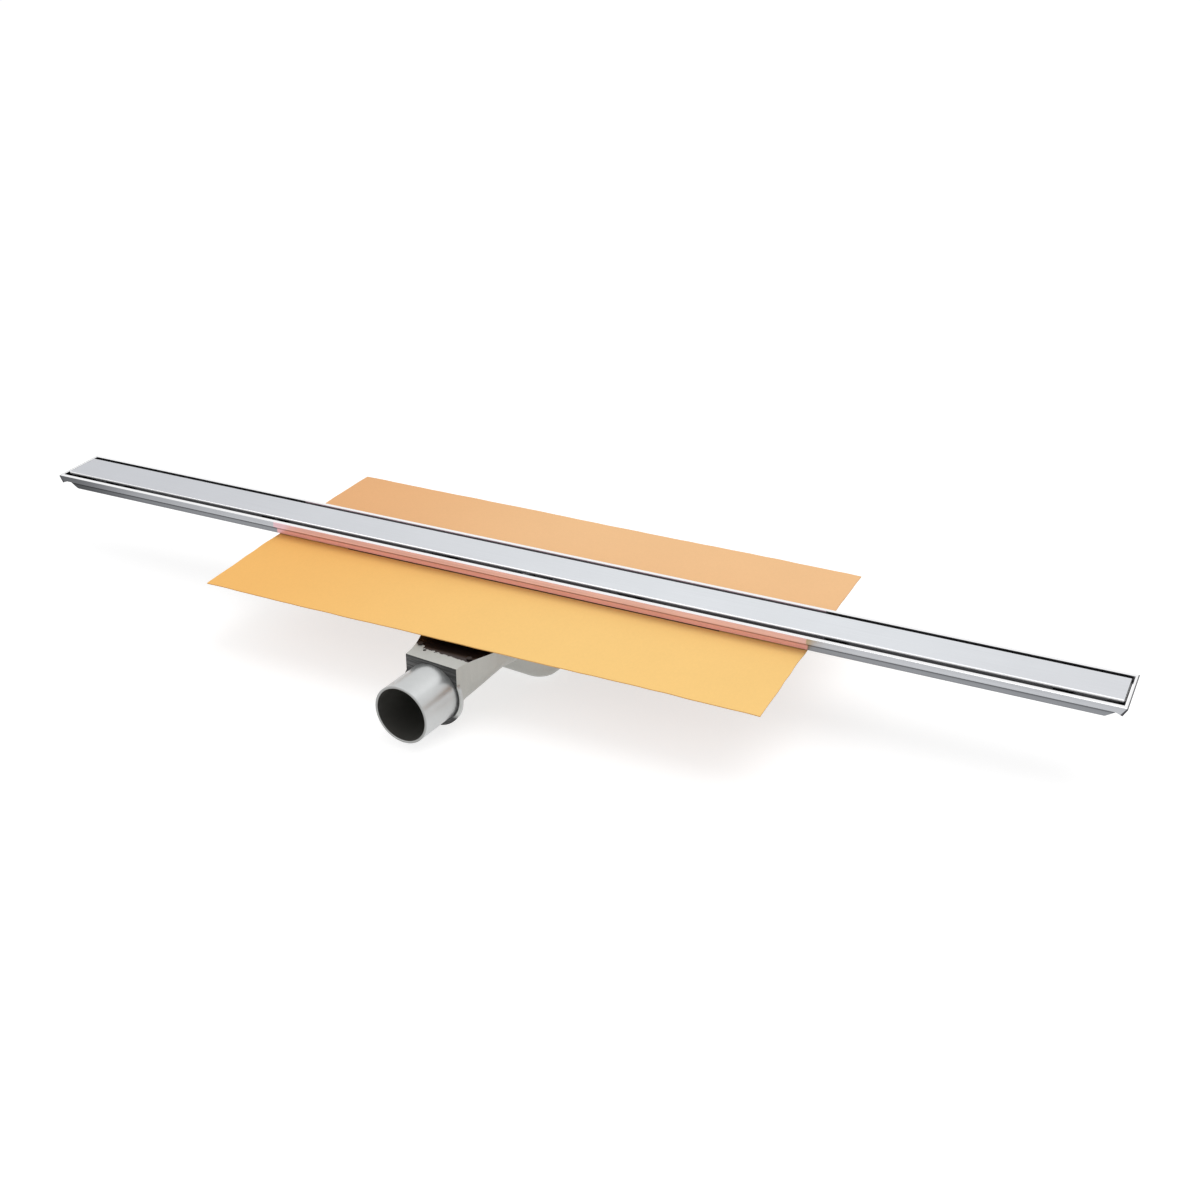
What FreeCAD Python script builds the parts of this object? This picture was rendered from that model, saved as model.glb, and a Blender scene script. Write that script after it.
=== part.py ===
import FreeCAD, Part
import math
import os

# Linear shower drain. Millimetres. The origin is the centre of the cover's top face,
# +X runs along the channel, +Y is the side away from the outlet and +Z is up.

# Rim: a bright folded frame round the cover
rim_length = 1000.0
rim_width = 55.0
rim_land = 3.8
rim_end_land = 2.5
rim_sheet = 1.0
rim_skirt = 5.0
rim_tip = 7.2
rim_tip_rake = 3.2
rim_tip_run = 5.5
rim_lip = 1.2
rim_edge_round = 0.4

# Cover: a folded plate that stands a little above the rim, with a slot all round it
cover_rise = 1.1
cover_slot = 5.9
cover_end_slot = 1.5
cover_sheet = 1.5
cover_edge = 2.4
cover_edge_round = 0.9

# Cover feet: folded brackets under the cover, each on two rubber pads
foot_count = 6
foot_end = 46.0
foot_length = 14.0
foot_sheet = 1.5
foot_leg_spread = 12.0
foot_toe = 6.0
pad_thickness = 2.0
pad_overhang = 0.5

# Channel: a shallow folded tray under the rim
tray_width = 45.0
tray_depth = 13.6
tray_sheet = 1.2
tray_flange = 3.0
tray_end_inset = 6.0
tray_end_run = 11.0
tray_bend = 1.6

# Outlet spout, welded into the tray floor on the drain's vertical axis
spout_radius = 19.0
spout_wall = 1.2
spout_drop = 24.0
spout_lip = 1.8
weld_gap = 0.05

# Sealing membrane, its bonding tape, and the plate that clamps it
membrane_length = 504.0
membrane_width = 256.0
membrane_thickness = 0.8
membrane_round = 1.5
tape_length = 355.0
tape_margin = 0.5
tape_thickness = 0.5
clamp_length = 116.0
clamp_thickness = 1.5
clamp_round = 8.0
spout_clearance = 1.5

# Clamping studs, washers and nuts (M4)
stud_radius = 2.0
stud_pitch_x = 80.0
stud_pitch_y = 24.0
stud_over = 0.5
stud_clearance = 0.25
washer_radius = 4.5
washer_thickness = 0.8
nut_flats = 7.0
nut_height = 2.8

# Trap: a bowl under the spout, a neck that rises over a weir, and an outlet chamber
trap_turn = 5.8
trap_top = 22.6
trap_bottom = 82.5
trap_wall = 2.0
bowl_half_along = 59.0
bowl_half_side = 49.0
bowl_corner = 24.0
bowl_draft = 2.5
bowl_base_round = 14.0
bowl_round_steps = 5
chamber_face = 155.0
chamber_half = 24.6
chamber_margin = 0.4
weir_along = 98.0
weir_half = 38.5
weir_bottom = 48.8
neck_round = 18.0
smallest_flat = 0.1

# Neck before the weir: distance along, half width and depth beyond the weir's
neck_rise = [(40.0, 7.0, 9.0), (60.0, 5.2, 5.4), (80.0, 2.6, 1.8)]

# Neck after the weir: shares of the run, of the narrowing and of the fall to the chamber,
# and how much rounder the section is there
neck_fall = [(0.0, 0.0, 0.0, 0.0), (0.15, 0.06, 0.02, 0.0), (0.3, 0.2, 0.13, 0.5),
             (0.45, 0.42, 0.3, 1.5), (0.6, 0.66, 0.48, 3.0), (0.72, 0.82, 0.61, 4.5),
             (0.84, 0.93, 0.76, 5.5), (0.93, 0.98, 0.9, 6.3), (1.0, 1.0, 1.0, 6.6)]

# Trap lid with its inlet socket, lip seal and screws
lid_sheet = 2.0
socket_radius = 22.2
socket_wall = 4.8
socket_height = 4.2
socket_bevel = 0.8
groove_depth = 2.2
groove_height = 2.2
groove_floor = 1.0
seal_fit = 0.1
seal_gap = 0.3
seal_lip = 0.9
lid_screw_radius = 1.3
lid_screw_head = 2.3
lid_screw_head_height = 1.1
lid_screw_length = 9.0
lid_boss_radius = 3.2
lid_screw_edge = 3.8
lid_screw_half = 24.0
lid_screw_front = 19.0
screw_end_gap = 1.0
vent_radius = 1.1
vent_from_face = 12.0
vent_side = -15.0

# Outlet spigot, 50 mm pipe size, and the collar behind it
spigot_radius = 25.0
spigot_wall = 2.2
spigot_length = 41.7
spigot_axis = 50.6
spigot_bevel = 0.4
collar_radius = 28.6
collar_drop = 1.2
collar_thickness = 3.0

# Odour insert that hangs in the spout, its ring, strainer and lifting bow
insert_play = 0.3
insert_top = 17.0
insert_neck_wall = 2.8
insert_tube_wall = 1.6
insert_reach = 70.0
ring_section = 1.9
ring_squash = 0.05
ring_depth = 27.0
strainer_flange = 1.0
strainer_sheet = 0.8
strainer_cup_radius = 12.5
strainer_cup_depth = 9.0
strainer_hole = 1.6
strainer_hub = 5.0
strainer_slots = 8
strainer_slot_width = 2.4
strainer_slot_height = 5.0
bow_sheet = 1.0
bow_width = 4.0
bow_corner = 3.0
bow_inset = 1.1
bow_headroom = 1.6

# Levels and widths that follow from the sizes above
rim_top = -cover_rise
opening_length = rim_length - 2 * rim_end_land
opening_width = rim_width - 2 * rim_land
cover_length = opening_length - 2 * cover_end_slot
cover_width = opening_width - 2 * cover_slot
flange_top = rim_top - rim_skirt
floor_under = rim_top - tray_depth
floor_top = floor_under + tray_sheet
tray_top_half = rim_length / 2 - tray_end_inset
end_rake = rim_tip_rake * (rim_skirt + tray_sheet - rim_lip) / (rim_tip - rim_lip)
flange_half = rim_length / 2 - rim_sheet - end_rake - weld_gap
membrane_top = floor_under - tape_thickness
membrane_under = membrane_top - membrane_thickness
clamp_under = membrane_under - clamp_thickness
washer_under = clamp_under - washer_thickness
nut_under = washer_under - nut_height
clamp_width = tray_width - 2 * tape_margin
membrane_hole = spout_radius + spout_clearance
spout_end = floor_top - spout_drop
lid_top = -trap_top
lid_under = lid_top - lid_sheet
socket_top = lid_top + socket_height
far_below = -2 * trap_bottom

# How near two coordinates count as the same when edges and faces are picked
same_place = 1e-6


def block(size_x, size_y, low, high, x=0.0, y=0.0):
    """A box centred on x, y between two levels."""
    corner = FreeCAD.Vector(x - size_x / 2, y - size_y / 2, low)
    return Part.makeBox(size_x, size_y, high - low, corner)


def post(radius, low, high, x=0.0, y=0.0):
    """An upright cylinder between two levels."""
    return Part.makeCylinder(radius, high - low, FreeCAD.Vector(x, y, low))


def turned(points):
    """A solid of revolution about the vertical axis from (radius, level) points."""
    outline = [FreeCAD.Vector(radius, 0, level) for radius, level in points]
    face = Part.Face(Part.makePolygon(outline + outline[:1]))
    return face.revolve(FreeCAD.Vector(0, 0, 0), FreeCAD.Vector(0, 0, 1), 360)


def side_profile(points, width):
    """A solid whose outline is given along and up the channel, as wide as stated."""
    outline = [FreeCAD.Vector(x, -width / 2, z) for x, z in points]
    face = Part.Face(Part.makePolygon(outline + outline[:1]))
    return face.extrude(FreeCAD.Vector(0, width, 0))


def cross_profile(points, length, x):
    """A solid whose outline is given across and up the channel, centred on x."""
    outline = [FreeCAD.Vector(x - length / 2, y, z) for y, z in points]
    face = Part.Face(Part.makePolygon(outline + outline[:1]))
    return face.extrude(FreeCAD.Vector(length, 0, 0))


def both_ways(points):
    """The points of a half outline followed by their mirror images, back to the start."""
    return points + [(-across, level) for across, level in reversed(points)]


def edges_at(shape, level):
    """The edges that lie wholly at one level."""
    found = []
    for edge in shape.Edges:
        box = edge.BoundBox
        if abs(box.ZMin - level) < same_place and abs(box.ZMax - level) < same_place:
            found.append(edge)
    return found


def upright_edges(shape):
    """The straight vertical edges of a shape."""
    found = []
    for edge in shape.Edges:
        box = edge.BoundBox
        if box.XLength < same_place and box.YLength < same_place and box.ZLength > same_place:
            found.append(edge)
    return found


def rim_outline(inset, low):
    """Half outline of the rim along the channel: raked ends whose corners dip."""
    end = rim_length / 2 - inset
    tip = end - rim_tip_rake
    return [(end, rim_top - inset), (end, rim_top - rim_lip), (tip, rim_top - rim_tip),
            (tip - rim_tip_run, low)]


def make_rim():
    """Folded frame: flat land, outer skirt with dipped corners, and an inner leg."""
    outer = side_profile(both_ways(rim_outline(0, flange_top)), rim_width)
    outer = outer.makeFillet(rim_edge_round, edges_at(outer, rim_top))
    end, lip, tip, dip = rim_outline(rim_sheet, flange_top)
    hollow = both_ways([end, lip, tip, (tip[0], far_below)])
    outer = outer.cut(side_profile(hollow, rim_width - 2 * rim_sheet))
    leg = block(opening_length + 2 * rim_sheet, opening_width + 2 * rim_sheet,
                flange_top, rim_top - rim_sheet / 2)
    opening = block(opening_length, opening_width, far_below, cover_rise)
    return outer.fuse(leg).cut(opening).removeSplitter()


def make_cover():
    """Plate with all four edges turned down."""
    outer = block(cover_length, cover_width, -cover_edge, 0)
    outer = outer.makeFillet(cover_edge_round, edges_at(outer, 0) + upright_edges(outer))
    hollow = block(cover_length - 2 * cover_sheet, cover_width - 2 * cover_sheet,
                   -cover_edge, -cover_sheet)
    return outer.cut(hollow)


def foot_places():
    """Places along the channel where the cover has a foot."""
    first = foot_end - cover_length / 2
    pitch = -2 * first / (foot_count - 1)
    return [first + pitch * index for index in range(foot_count)]


def make_foot(x):
    """Hat-shaped bracket under the cover with out-turned toes."""
    top = -cover_sheet
    toe_under = floor_top + pad_thickness
    toe_out = foot_leg_spread + foot_toe
    outside = [(foot_leg_spread, top), (foot_leg_spread, toe_under + foot_sheet),
               (toe_out, toe_under + foot_sheet), (toe_out, toe_under)]
    leg_in = foot_leg_spread - foot_sheet
    inside = [(leg_in, toe_under), (leg_in, top - foot_sheet)]
    outline = outside + inside
    return cross_profile(both_ways(outline), foot_length, x)


def make_pads(x):
    """Two rubber pads between one foot's toes and the tray floor."""
    middle = foot_leg_spread + foot_toe / 2
    size_x = foot_length + 2 * pad_overhang
    low, high = floor_top, floor_top + pad_thickness
    return [block(size_x, foot_toe, low, high, x, side * middle) for side in (-1, 1)]


def tray_form(inset, top):
    """Body of the tray, with sloping ends and rounded lower edges."""
    bottom_half = tray_top_half - tray_end_run - inset
    low = floor_under + inset
    outline = [(tray_top_half - inset, top), (tray_top_half - inset, flange_top - tray_sheet),
               (bottom_half, low)]
    form = side_profile(both_ways(outline), tray_width - 2 * inset)
    return form.makeFillet(tray_bend - inset, edges_at(form, low))


def make_tray():
    """Folded channel with a flange under the rim and a hole for the spout."""
    form = tray_form(0, flange_top)
    flange = block(2 * flange_half, tray_width + 2 * tray_flange,
                   flange_top - tray_sheet, flange_top)
    tray = form.fuse(flange).cut(tray_form(tray_sheet, cover_rise))
    return tray.cut(post(spout_radius + weld_gap, far_below, 0)).removeSplitter()


def make_spout():
    """Tube with an in-turned lip at its lower end, which carries the insert."""
    bore = spout_radius - spout_wall
    return turned([(spout_radius, floor_top), (spout_radius, spout_end),
                   (bore - spout_lip, spout_end), (bore - spout_lip, spout_end + spout_wall),
                   (bore, spout_end + spout_wall), (bore, floor_top)])


def stud_places():
    """The four places of the clamping studs."""
    return [(sx * stud_pitch_x / 2, sy * stud_pitch_y / 2) for sx in (-1, 1) for sy in (-1, 1)]


def pierced(sheet, centre_radius):
    """A sheet with its centre hole and four stud holes cut through."""
    cutters = [post(centre_radius, far_below, 0)]
    for x, y in stud_places():
        cutters.append(post(stud_radius + stud_clearance, far_below, 0, x, y))
    return sheet.cut(cutters)


def make_tape():
    """Bonding tape between the tray floor and the membrane."""
    sheet = block(tape_length, clamp_width, membrane_top, floor_under)
    return pierced(sheet, membrane_hole)


def make_membrane():
    """Thin square-cut sheet with slightly eased corners."""
    sheet = block(membrane_length, membrane_width, membrane_under, membrane_top)
    sheet = sheet.makeFillet(membrane_round, upright_edges(sheet))
    return pierced(sheet, membrane_hole)


def make_clamp_plate():
    """Plate that holds the membrane against the tray floor."""
    plate = block(clamp_length, clamp_width, clamp_under, membrane_under)
    plate = plate.makeFillet(clamp_round, upright_edges(plate))
    return pierced(plate, membrane_hole)


def make_studs():
    """Studs welded under the tray floor."""
    low = nut_under - stud_over
    studs = []
    for x, y in stud_places():
        stud = post(stud_radius, low, floor_under, x, y)
        studs.append(stud.makeChamfer(stud_over / 2, edges_at(stud, low)))
    return studs


def make_washers():
    """Washers between the clamp plate and the nuts."""
    bore = stud_radius + stud_clearance
    return [post(washer_radius, washer_under, clamp_under, x, y).cut(
        post(bore, washer_under, clamp_under, x, y)) for x, y in stud_places()]


def make_nuts():
    """Hexagon nuts on the studs."""
    corner = nut_flats / math.sqrt(3)
    nuts = []
    for x, y in stud_places():
        angles = [math.radians(60 * side) for side in range(7)]
        outline = [FreeCAD.Vector(x + corner * math.cos(a), y + corner * math.sin(a), nut_under)
                   for a in angles]
        hexagon = Part.Face(Part.makePolygon(outline))
        nut = hexagon.extrude(FreeCAD.Vector(0, 0, nut_height))
        nuts.append(nut.cut(post(stud_radius + weld_gap, nut_under, washer_under, x, y)))
    return nuts


def rounded_wire(half_x, half_y, corner, level):
    """Closed rounded rectangle at one level."""
    sheet = Part.Face(Part.makePolygon([
        FreeCAD.Vector(half_x, -half_y, level), FreeCAD.Vector(half_x, half_y, level),
        FreeCAD.Vector(-half_x, half_y, level), FreeCAD.Vector(-half_x, -half_y, level),
        FreeCAD.Vector(half_x, -half_y, level)]))
    solid = sheet.extrude(FreeCAD.Vector(0, 0, 1))
    solid = solid.makeFillet(corner, upright_edges(solid))
    lower = [face for face in solid.Faces if abs(face.BoundBox.ZMax - level) < same_place]
    return lower[0].OuterWire


def bowl_form(inset, top):
    """Tapered bowl under the spout, with a well-rounded base."""
    base_round = bowl_base_round - inset
    start = -trap_bottom + inset + base_round
    rings = [(0.0, top)]
    for step in range(bowl_round_steps + 1):
        angle = math.pi / 2 * step / bowl_round_steps
        drawn_in = bowl_draft + base_round * (1 - math.cos(angle))
        rings.append((drawn_in, start - base_round * math.sin(angle)))
    wires = [rounded_wire(bowl_half_side - inset - drawn_in, bowl_half_along - inset - drawn_in,
                          bowl_corner - inset - drawn_in, level) for drawn_in, level in rings]
    return Part.makeLoft(wires, True, True)


def chamber_section(along, half, bottom, corner, inset, top):
    """Closed U-shaped section of the neck: flat top, straight sides, rounded floor."""
    half = half - inset
    low = -bottom + inset
    corner = min(corner - inset, half - smallest_flat)
    slant = corner * (1 - math.sqrt(0.5))

    def point(side, level):
        return FreeCAD.Vector(side, -along, level)

    right = Part.Arc(point(half, low + corner), point(half - slant, low + slant),
                     point(half - corner, low))
    left = Part.Arc(point(corner - half, low), point(slant - half, low + slant),
                    point(-half, low + corner))
    edges = [Part.makeLine(point(-half, top), point(half, top)),
             Part.makeLine(point(half, top), point(half, low + corner)),
             right.toShape(),
             Part.makeLine(point(half - corner, low), point(corner - half, low)),
             left.toShape(),
             Part.makeLine(point(-half, low + corner), point(-half, top))]
    return Part.Wire(edges)


def neck_form(inset, top):
    """Neck from the bowl over the weir and down into the outlet chamber."""
    run = chamber_face - weir_along
    fall = spigot_axis + spigot_radius + chamber_margin - weir_bottom
    spread = weir_half - chamber_half
    sections = [(along, weir_half + wider, weir_bottom + deeper, neck_round)
                for along, wider, deeper in neck_rise]
    for gone, narrowed, fallen, rounder in neck_fall:
        sections.append((weir_along + gone * run, weir_half - narrowed * spread,
                         weir_bottom + fallen * fall, neck_round + rounder))
    sections[-1] = (chamber_face - inset,) + sections[-1][1:]
    wires = [chamber_section(*section, inset, top) for section in sections]
    return Part.makeLoft(wires, True, True)


def trap_form(inset, top):
    """Outside of the trap, or its inside when drawn in by the wall."""
    return bowl_form(inset, top).fuse(neck_form(inset, top)).removeSplitter()


def lid_screw_places():
    """Screw places on the lid: a pair by the outlet face and a pair at the far corners."""
    round_in = bowl_corner - (bowl_corner - lid_screw_edge) * math.sqrt(0.5)
    places = []
    for side in (-1, 1):
        places.append((side * lid_screw_half, lid_screw_front - chamber_face))
        places.append((side * (bowl_half_side - round_in), bowl_half_along - round_in))
    return places


def along_outlet(radius, start, end):
    """Cylinder on the outlet axis between two distances from the drain's axis."""
    return Part.makeCylinder(radius, end - start, FreeCAD.Vector(0, -start, -spigot_axis),
                             FreeCAD.Vector(0, -1, 0))


def make_trap_body(outer):
    """Thin-walled bowl, neck and outlet chamber, open on top under the lid."""
    below = block(4 * chamber_face, 4 * chamber_face, far_below, lid_under)
    shell = outer.common(below)
    bosses = [post(lid_boss_radius, lid_under - lid_screw_length - lid_boss_radius, lid_under, x, y)
              for x, y in lid_screw_places()]
    inside = trap_form(trap_wall, lid_top)
    walls = shell.cut(inside)
    walls = walls.fuse([boss.common(shell) for boss in bosses])
    walls = walls.cut(along_outlet(spigot_radius - spigot_wall, chamber_face - 3 * trap_wall,
                                   chamber_face + trap_wall))
    holes = [post(lid_screw_radius + weld_gap, lid_under - lid_screw_length, lid_under, x, y)
             for x, y in lid_screw_places()]
    return walls.cut(holes).removeSplitter()


def make_lid(outer):
    """Flat lid with the socket for the spout."""
    slab = block(4 * chamber_face, 4 * chamber_face, lid_under, lid_top)
    lid = outer.common(slab)
    wall_out = socket_radius + socket_wall
    groove_low = lid_top + groove_floor
    groove = turned([(0, groove_low), (socket_radius + groove_depth, groove_low),
                     (socket_radius + groove_depth, groove_low + groove_height),
                     (0, groove_low + groove_height)])
    socket = post(wall_out, lid_top, socket_top)
    socket = socket.makeChamfer(socket_bevel, edges_at(socket, socket_top))
    lid = lid.fuse(socket).cut(post(socket_radius, far_below, 0)).cut(groove)
    holes = [post(lid_screw_radius + weld_gap, lid_under, lid_top, x, y)
             for x, y in lid_screw_places()]
    holes.append(post(vent_radius, lid_under, lid_top, vent_side, vent_from_face - chamber_face))
    return lid.cut(holes)


def make_lip_seal():
    """Rubber ring in the socket's groove, with a lip that leans in to the spout."""
    out = socket_radius + groove_depth - seal_fit
    lip = spout_radius + seal_gap
    low = lid_top + groove_floor + seal_fit
    high = low + groove_height - 2 * seal_fit
    heel = socket_radius - seal_lip
    return turned([(out, low), (out, high), (lip, lid_under + seal_lip), (lip, lid_under),
                   (heel, low)])


def make_lid_screws():
    """Flat-headed screws that hold the lid."""
    screws = []
    for x, y in lid_screw_places():
        shank = post(lid_screw_radius, lid_under - lid_screw_length + screw_end_gap, lid_top, x, y)
        head = post(lid_screw_head, lid_top, lid_top + lid_screw_head_height, x, y)
        screws.append(shank.fuse(head))
    return screws


def make_spigot():
    """Pipe end, square to its axis, with its mouth lightly bevelled."""
    end = chamber_face + spigot_length
    pipe = along_outlet(spigot_radius, chamber_face, end)
    pipe = pipe.cut(along_outlet(spigot_radius - spigot_wall, chamber_face, end))
    mouth = [edge for edge in pipe.Edges if abs(edge.BoundBox.YMax + end) < same_place]
    return pipe.makeChamfer(spigot_bevel, mouth)


def make_collar():
    """Flange that runs under the chamber behind its face and dies away up its sides."""
    ring = along_outlet(collar_radius, chamber_face - collar_thickness, chamber_face)
    ring.translate(FreeCAD.Vector(0, 0, -collar_drop))
    return ring.cut(trap_form(0, lid_top))


def make_insert():
    """Odour insert: a collar in the spout and a tube that dips into the bowl's water."""
    bore = spout_radius - spout_wall
    collar_out = bore - insert_play
    tube_out = bore - spout_lip - insert_play
    seat = spout_end + spout_wall
    ring_in = bore - ring_section
    ring_low = -ring_depth - ring_section / 2 - ring_squash
    ring_high = -ring_depth + ring_section / 2 + ring_squash
    neck_in = collar_out - insert_neck_wall
    tube_in = tube_out - insert_tube_wall
    return turned([(collar_out, -insert_top), (collar_out, ring_high), (ring_in, ring_high),
                   (ring_in, ring_low), (collar_out, ring_low), (collar_out, seat),
                   (tube_out, seat), (tube_out, -insert_reach), (tube_in, -insert_reach),
                   (tube_in, seat), (neck_in, seat + insert_tube_wall),
                   (neck_in, -insert_top)])


def make_ring():
    """Square-cut rubber ring in the insert's groove."""
    out = spout_radius - spout_wall - ring_squash
    inner = spout_radius - spout_wall - ring_section + ring_squash
    low = -ring_depth - ring_section / 2
    high = -ring_depth + ring_section / 2
    return turned([(inner, low), (out, low), (out, high), (inner, high)])


def make_strainer():
    """Hair strainer: a cup with a flange on the insert, and slots from its hub up its wall."""
    flange = spout_radius - spout_wall - 2 * insert_play
    seat = -insert_top
    floor = seat - strainer_cup_depth
    cup_in = strainer_cup_radius - strainer_sheet
    cup = turned([(flange, seat), (flange, seat + strainer_flange),
                  (cup_in, seat + strainer_flange), (cup_in, floor + strainer_sheet),
                  (0, floor + strainer_sheet), (0, floor), (strainer_cup_radius, floor),
                  (strainer_cup_radius, seat)])
    cutters = [post(strainer_hole, floor, floor + strainer_sheet)]
    reach = strainer_cup_radius - strainer_hub + strainer_sheet
    for index in range(strainer_slots):
        slot = block(reach, strainer_slot_width, floor, floor + strainer_slot_height,
                     strainer_hub + reach / 2, 0)
        slot.rotate(FreeCAD.Vector(0, 0, 0), FreeCAD.Vector(0, 0, 1),
                    360 * index / strainer_slots)
        cutters.append(slot)
    return cup.cut(cutters)


def make_bow():
    """Strap bow for lifting the strainer, standing on its flange."""
    seat = -insert_top + strainer_flange
    high = -cover_sheet - bow_headroom
    leg_in = strainer_cup_radius + bow_inset
    leg_out = leg_in + bow_sheet
    outside = [(leg_out - bow_corner, high), (leg_out, high - bow_corner), (leg_out, seat)]
    inside = [(leg_in, seat), (leg_in, high - bow_corner),
              (leg_in + bow_sheet - bow_corner, high - bow_sheet)]
    return side_profile(both_ways(outside + inside), bow_width)


def turned_with_trap(shape):
    """The shape as it stands in the drain, with the trap turned on the spout."""
    copy = shape.copy()
    copy.rotate(FreeCAD.Vector(0, 0, 0), FreeCAD.Vector(0, 0, 1), -trap_turn)
    return copy


def save(name, shapes):
    """Write one node, which may be a group of separate solids."""
    shape = shapes[0] if len(shapes) == 1 else Part.makeCompound(shapes)
    shape.exportStep(os.path.join("parts", name + ".step"))


def build():
    """Make every piece and write it."""
    os.makedirs("parts", exist_ok=True)
    feet = foot_places()
    save("cover_plate", [make_cover()])
    save("cover_feet", [make_foot(x) for x in feet])
    save("cover_foot_pads", [pad for x in feet for pad in make_pads(x)])
    save("rim_frame", [make_rim()])
    save("channel_tray", [make_tray()])
    save("outlet_spout", [make_spout()])
    save("bonding_tape", [make_tape()])
    save("sealing_membrane", [make_membrane()])
    save("clamp_plate", [make_clamp_plate()])
    save("clamp_studs", make_studs())
    save("clamp_washers", make_washers())
    save("clamp_nuts", make_nuts())
    save("odour_insert", [make_insert()])
    save("insert_ring", [make_ring()])
    save("hair_strainer", [make_strainer()])
    save("strainer_bow", [make_bow()])
    outer = trap_form(0, lid_top)
    trap = {
        "trap_body": [make_trap_body(outer)],
        "trap_lid": [make_lid(outer)],
        "lid_screws": make_lid_screws(),
        "lip_seal": [make_lip_seal()],
        "outlet_spigot": [make_spigot()],
        "spigot_collar": [make_collar()],
    }
    for name, shapes in trap.items():
        save(name, [turned_with_trap(shape) for shape in shapes])


build()
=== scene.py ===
"""Looks of a linear shower drain: steel channel, cover, sealing membrane and turned trap."""

import logging
import math
from dataclasses import dataclass
from enum import Enum
from typing import Any, Callable, Dict, Iterable, List, Optional, Sequence, Tuple, Union

import bmesh
import bpy
from mathutils import Matrix, Vector, noise


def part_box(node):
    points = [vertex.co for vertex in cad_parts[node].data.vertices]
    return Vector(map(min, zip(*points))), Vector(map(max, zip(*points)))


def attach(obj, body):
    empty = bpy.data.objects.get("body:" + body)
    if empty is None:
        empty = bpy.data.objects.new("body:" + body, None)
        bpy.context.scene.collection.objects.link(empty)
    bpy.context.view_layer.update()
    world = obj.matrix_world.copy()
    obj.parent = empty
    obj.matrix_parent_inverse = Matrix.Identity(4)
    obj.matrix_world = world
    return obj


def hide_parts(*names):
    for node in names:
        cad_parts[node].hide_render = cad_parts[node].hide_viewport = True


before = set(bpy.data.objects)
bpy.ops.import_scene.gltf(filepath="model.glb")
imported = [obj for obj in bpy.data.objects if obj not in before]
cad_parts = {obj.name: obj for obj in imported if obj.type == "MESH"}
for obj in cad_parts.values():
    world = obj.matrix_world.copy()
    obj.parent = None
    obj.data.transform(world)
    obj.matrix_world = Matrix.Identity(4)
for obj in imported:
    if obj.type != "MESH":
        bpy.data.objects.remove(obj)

log = logging.getLogger("shower_drain")

Colour = Tuple[float, float, float]
Span = Tuple[float, float]

# How far the outlet is turned from square to the channel.
TRAP_TURN = math.radians(5.8)
CHANNEL = "channel"
TRAP = "trap"
NOISE_ROUGHNESS = 0.6
NOISE_MEAN = 0.5
SAME_POINT = 1e-6


class Lay(Enum):
    """Waves per metre of a grain along X, Y and Z, before its scale."""

    ALONG = (1.5, 260.0, 260.0)
    ROUND = (90.0, 90.0, 90.0)
    FELT = (420.0, 260.0, 300.0)
    LEVEL = (30.0, 30.0, 900.0)


def from_srgb(red: float, green: float, blue: float) -> Colour:
    """Turn an sRGB colour in 0 to 255 into linear light.

    Args:
        red: Red level.
        green: Green level.
        blue: Blue level.

    Returns:
        The linear colour.
    """
    def linear(level: float) -> float:
        """Light of one level, by the two parts of the sRGB curve."""
        share = level / 255.0
        return share / 12.92 if share <= 0.04045 else ((share + 0.055) / 1.055) ** 2.4

    return linear(red), linear(green), linear(blue)


class Signal:
    """A shader socket that takes part in Python expressions."""

    def __init__(self, board: "Board", socket: bpy.types.NodeSocket) -> None:
        """Keep the socket and the node tree that it belongs to.

        Args:
            board: The tree.
            socket: The output socket.
        """
        self.board = board
        self.socket = socket

    def _combine(self, operation: str, *values: Any) -> "Signal":
        """Add a Math node on these values and return its result."""
        return self.board.add("ShaderNodeMath", {"operation": operation}, dict(enumerate(values)))

    def __add__(self, other: Any) -> "Signal":
        """Sum."""
        return self._combine("ADD", self, other)

    __radd__ = __add__

    def __sub__(self, other: Any) -> "Signal":
        """Difference."""
        return self._combine("SUBTRACT", self, other)

    def __rsub__(self, other: Any) -> "Signal":
        """Difference with the number first."""
        return self._combine("SUBTRACT", other, self)

    def __mul__(self, other: Any) -> "Signal":
        """Product."""
        return self._combine("MULTIPLY", self, other)

    __rmul__ = __mul__

    def __neg__(self) -> "Signal":
        """Negative."""
        return self._combine("MULTIPLY", self, -1.0)

    def __abs__(self) -> "Signal":
        """Size without sign."""
        return self._combine("ABSOLUTE", self)

    def at_least(self, other: Any) -> "Signal":
        """The larger of two values."""
        return self._combine("MAXIMUM", self, other)

    def rise(self, span: Span, start: float = 0.0, end: float = 1.0) -> "Signal":
        """Ease from start to end while the value crosses a span.

        Args:
            span: Values at which the change begins and ends.
            start: Result before it.
            end: Result after it.

        Returns:
            The eased value.
        """
        return self.board.add("ShaderNodeMapRange", {"interpolation_type": "SMOOTHSTEP"},
                              {"Value": self, "From Min": span[0], "From Max": span[1],
                               "To Min": start, "To Max": end})

    def fall(self, span: Span) -> "Signal":
        """Ease from one to zero while the value crosses a span."""
        return self.rise(span, 1.0, 0.0)


def squared(first: Signal, second: Signal) -> Signal:
    """Square of the distance that two coordinates make."""
    return first * first + second * second


@dataclass(frozen=True)
class Grain:
    """Noise in a surface, and how far it moves the surface's shade and roughness."""

    lay: Lay
    detail: float
    scale: float
    shade: float = 0.0
    rough: float = 0.0


@dataclass(frozen=True)
class Layer:
    """A grain on one material, with its noise from 0 to 1."""

    grain: Grain
    noise: Signal


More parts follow.
